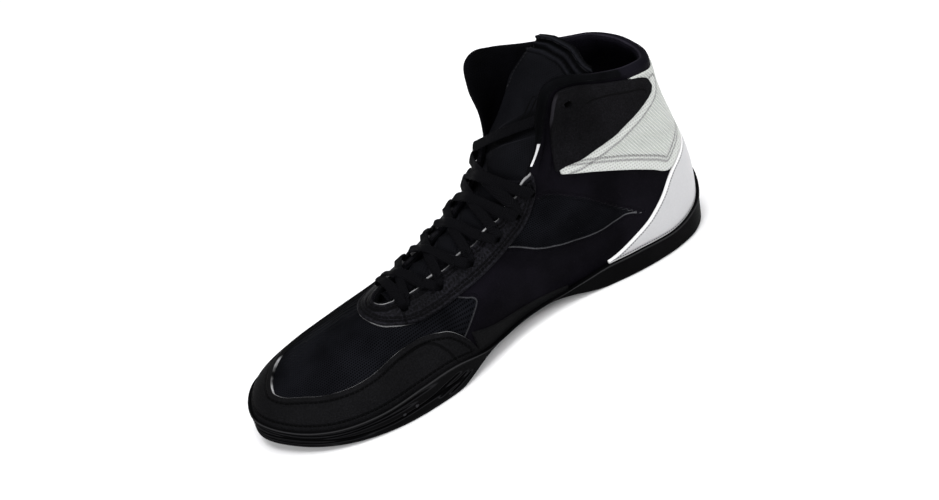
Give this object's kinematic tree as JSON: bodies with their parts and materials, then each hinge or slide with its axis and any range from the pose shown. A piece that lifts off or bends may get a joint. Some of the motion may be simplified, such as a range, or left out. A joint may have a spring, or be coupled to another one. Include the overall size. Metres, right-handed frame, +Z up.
{
  "type": "wrestling shoe",
  "caption": "Black and white ankle-high wrestling shoe with a mesh upper, laced throat, toe guard and a thin two-part tread sole.",
  "frame": {"origin": "on the floor under the flat spot of the heel", "axes": "+X from the heel to the toe, +Y to the inner side of the foot, +Z up"},
  "size_m": [0.2921, 0.0942, 0.1456],
  "materials": {
    "outsole": "satin moulded rubber",
    "insole": "black textile",
    "upper": "black mesh and smooth synthetic",
    "tongue": "black mesh",
    "toe_guard": "matt napped synthetic",
    "eyestay": "perforated matt synthetic",
    "heel_panel": "white mesh",
    "heel_strap": "smooth pale synthetic",
    "shank_wrap_inner": "matt",
    "shank_wrap_outer": "matt",
    "ankle_panel_inner": "matt napped synthetic",
    "ankle_panel_outer": "matt napped synthetic",
    "lace": "flat woven lace"
  },
  "bodies": {
    "root": {"outsole": "outsole", "insole": "insole", "upper": "upper", "tongue": "tongue", "toe_guard": "toe_guard", "eyestay": "eyestay", "heel_panel": "heel_panel", "heel_strap": "heel_strap", "shank_wrap_inner": "shank_wrap_inner", "shank_wrap_outer": "shank_wrap_outer", "ankle_panel_inner": "ankle_panel_inner", "ankle_panel_outer": "ankle_panel_outer", "lace": "lace"}
  },
  "joints": []
}
